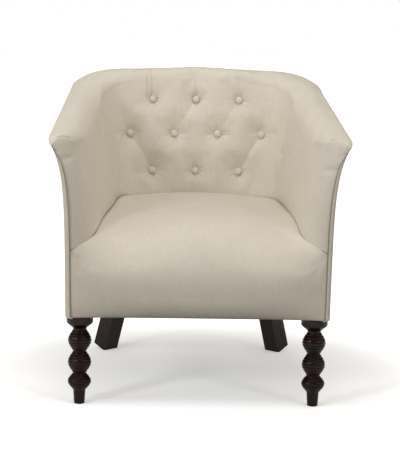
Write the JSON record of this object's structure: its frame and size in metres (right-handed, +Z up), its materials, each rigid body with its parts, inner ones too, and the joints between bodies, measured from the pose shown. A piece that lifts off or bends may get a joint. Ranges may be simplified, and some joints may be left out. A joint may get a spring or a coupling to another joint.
{
  "type": "tub chair",
  "caption": "Upholstered tub chair with a tight seat, sloping flared arms, a diamond-tufted inside back, turned bobbin front legs and splayed square rear legs.",
  "frame": {"origin": "on the floor, under the middle of the chair's box", "axes": "+Z up, -Y towards the front that a sitter faces, +X to the right as seen from the front"},
  "size_m": [0.722, 0.7017, 0.782],
  "materials": {
    "linen": "plain woven oatmeal linen, matt",
    "stained_wood": "very dark brown stain under satin lacquer",
    "frame_wood": "sawn hardwood, unfinished",
    "dust_cloth": "black non-woven cloth",
    "hessian": "open jute weave",
    "webbing": "woven jute strap",
    "foam": "cut polyurethane foam",
    "wadding": "polyester wadding",
    "zinc_steel": "zinc plated",
    "washer_plastic": "moulded washer with twine"
  },
  "bodies": {
    "root": {"seat_cover": "linen", "inside_back_cover": "linen", "inside_left_arm_cover": "linen", "inside_right_arm_cover": "linen", "outside_left_arm_panel": "linen", "outside_right_arm_panel": "linen", "outside_back_panel": "linen", "left_arm_seam_cord": "linen", "right_arm_seam_cord": "linen", "tufting_buttons": "linen", "front_left_leg": "stained_wood", "front_right_leg": "stained_wood", "rear_left_leg": "stained_wood", "rear_right_leg": "stained_wood", "dust_cover": "dust_cloth", "front_rail": "frame_wood", "left_side_rail": "frame_wood", "right_side_rail": "frame_wood", "rear_rail": "frame_wood", "rear_left_corner_segment": "frame_wood", "rear_right_corner_segment": "frame_wood", "front_corner_blocks": "frame_wood", "left_front_arm_post": "frame_wood", "right_front_arm_post": "frame_wood", "left_back_post": "frame_wood", "right_back_post": "frame_wood", "left_arm_top_rail": "frame_wood", "right_arm_top_rail": "frame_wood", "top_back_rail": "frame_wood", "left_arm_tack_rail": "frame_wood", "right_arm_tack_rail": "frame_wood", "back_tack_rail": "frame_wood", "seat_springs": "zinc_steel", "spring_clips": "zinc_steel", "seat_hessian": "hessian", "seat_foam": "foam", "front_edge_padding": "wadding", "back_webbing": "webbing", "back_hessian": "hessian", "left_arm_hessian": "hessian", "right_arm_hessian": "hessian", "back_foam": "foam", "left_arm_foam": "foam", "right_arm_foam": "foam", "button_washers": "washer_plastic", "hanger_bolts": "zinc_steel", "tee_nuts": "zinc_steel", "corner_block_screws": "zinc_steel"}
  },
  "joints": []
}
